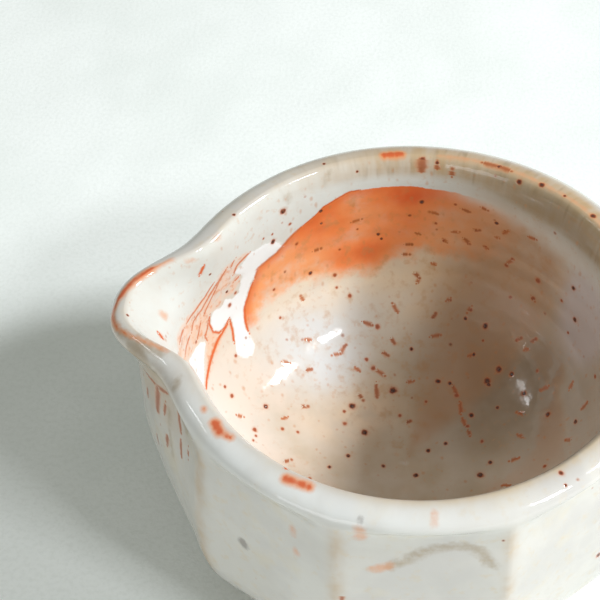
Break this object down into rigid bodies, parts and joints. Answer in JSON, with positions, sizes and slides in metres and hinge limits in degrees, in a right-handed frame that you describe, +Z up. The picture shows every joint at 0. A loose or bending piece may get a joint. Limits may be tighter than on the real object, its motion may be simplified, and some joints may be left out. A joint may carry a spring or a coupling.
{
  "type": "tea pitcher",
  "caption": "Hand-faceted stoneware tea pitcher: an open ten-sided bowl with a short wide spout pulled from its rim, on a turned foot ring.",
  "frame": {"origin": "on the table, under the middle of the pitcher's length and width, the spout included", "axes": "the spout points along -X, +Y is across the bowl, +Z is up out of the bowl"},
  "size_m": [0.1186, 0.107, 0.066],
  "materials": {
    "glaze": "glossy warm white glaze over iron-speckled stoneware, with an orange-red blush inside",
    "bare_clay": "unglazed sandy stoneware, fired light brown"
  },
  "bodies": {
    "root": {"bowl": "glaze", "spout": "glaze", "foot_ring": "bare_clay"}
  },
  "joints": []
}
